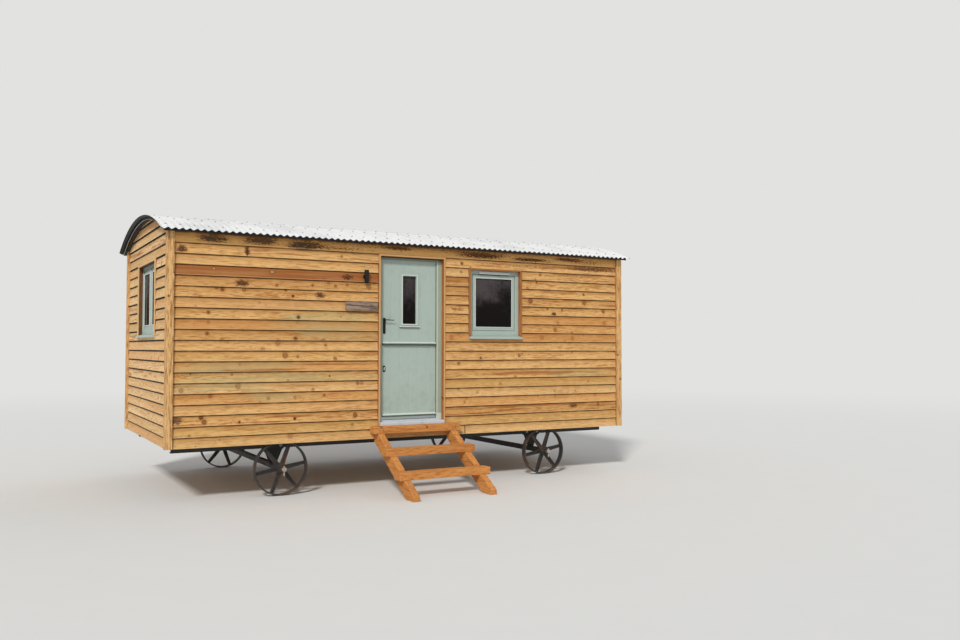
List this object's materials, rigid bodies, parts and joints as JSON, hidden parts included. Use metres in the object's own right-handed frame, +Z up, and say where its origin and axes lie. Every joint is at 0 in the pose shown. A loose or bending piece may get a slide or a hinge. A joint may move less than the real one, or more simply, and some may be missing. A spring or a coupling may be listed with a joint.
{
  "type": "shepherds hut",
  "caption": "Timber-clad hut on spoked iron wheels with an arched corrugated roof, a stable door, two windows and open timber steps.",
  "frame": {"origin": "on the ground, under the middle of the bounding box of the hut with its steps", "axes": "+X along the hut to the right as seen from the door side, +Y from the door side to the back, +Z up"},
  "size_m": [5.94, 3.7978, 3.04],
  "materials": {
    "cladding": "rough sawn softwood",
    "posts": "planed softwood",
    "inner_boards": "planed softwood",
    "liner_timber": "planed softwood",
    "roof_metal": "pale coated sheet",
    "dark_trim": "black stain",
    "sage_paint": "satin paint",
    "pale_sill": "satin paint",
    "pane": "clear",
    "black_metal": "satin black",
    "hinge_steel": "zinc plated",
    "plaque_wood": "weathered",
    "step_timber": "new sawn softwood",
    "chassis_steel": "black paint",
    "wheel_iron": "rusted"
  },
  "bodies": {
    "hut": {"floor_frame": "inner_boards", "floor_boards": "inner_boards", "front_wall_left": "cladding", "front_wall_over_door": "cladding", "front_wall_between": "cladding", "front_wall_under_window": "cladding", "front_wall_over_window": "cladding", "front_wall_right": "cladding", "back_wall": "cladding", "left_gable_front": "cladding", "left_gable_under_window": "cladding", "left_gable_over_window": "cladding", "left_gable_back": "cladding", "right_gable": "cladding", "corner_posts": "posts", "skirt_boards": "cladding", "roof_sheet": "roof_metal", "roof_deck": "inner_boards", "left_barge_board": "dark_trim", "right_barge_board": "dark_trim", "door_liner": "liner_timber", "door_sill": "pale_sill", "door_frame": "sage_paint", "frame_hinges": "hinge_steel", "front_window_liner": "liner_timber", "front_window_sill": "pale_sill", "front_window_frame": "sage_paint", "front_window_glass": "pane", "left_window_liner": "liner_timber", "left_window_sill": "pale_sill", "left_window_frame": "sage_paint", "left_window_glass": "pane", "wall_light": "black_metal", "name_board": "plaque_wood", "left_axle": "chassis_steel", "right_axle": "chassis_steel", "chassis_rails": "chassis_steel", "chassis_crossmembers": "chassis_steel", "left_stringer": "step_timber", "right_stringer": "step_timber", "top_tread": "step_timber", "middle_tread": "step_timber", "bottom_tread": "step_timber"},
    "upper_leaf": {"upper_leaf": "sage_paint", "upper_leaf_glass": "pane", "upper_leaf_hinges": "hinge_steel", "door_handle": "black_metal"},
    "lower_leaf": {"lower_leaf": "sage_paint", "lower_leaf_hinges": "hinge_steel", "lower_lock": "black_metal"},
    "wheel_front_left": {"wheel_front_left": "wheel_iron"},
    "wheel_front_right": {"wheel_front_right": "wheel_iron"},
    "wheel_back_left": {"wheel_back_left": "wheel_iron"},
    "wheel_back_right": {"wheel_back_right": "wheel_iron"}
  },
  "joints": [
    {"name": "lower_leaf_hinge", "type": "hinge", "parent": "hut", "child": "lower_leaf", "pos_m": [0.1825, -0.7476, 1.1705], "axis": [0, 0, -1], "range_deg": [0, 90]},
    {"name": "upper_leaf_hinge", "type": "hinge", "parent": "hut", "child": "upper_leaf", "pos_m": [0.1825, -0.7476, 2.114], "axis": [0, 0, -1], "range_deg": [0, 90]},
    {"name": "wheel_front_left_spin", "type": "hinge", "parent": "hut", "child": "wheel_front_left", "pos_m": [-1.685, -0.8106, 0.29], "axis": [0, 1, 0], "continuous": true},
    {"name": "wheel_front_right_spin", "type": "hinge", "parent": "hut", "child": "wheel_front_right", "pos_m": [1.685, -0.8106, 0.29], "axis": [0, 1, 0], "continuous": true},
    {"name": "wheel_back_left_spin", "type": "hinge", "parent": "hut", "child": "wheel_back_left", "pos_m": [-1.685, 1.7284, 0.29], "axis": [0, 1, 0], "continuous": true},
    {"name": "wheel_back_right_spin", "type": "hinge", "parent": "hut", "child": "wheel_back_right", "pos_m": [1.685, 1.7284, 0.29], "axis": [0, 1, 0], "continuous": true}
  ]
}
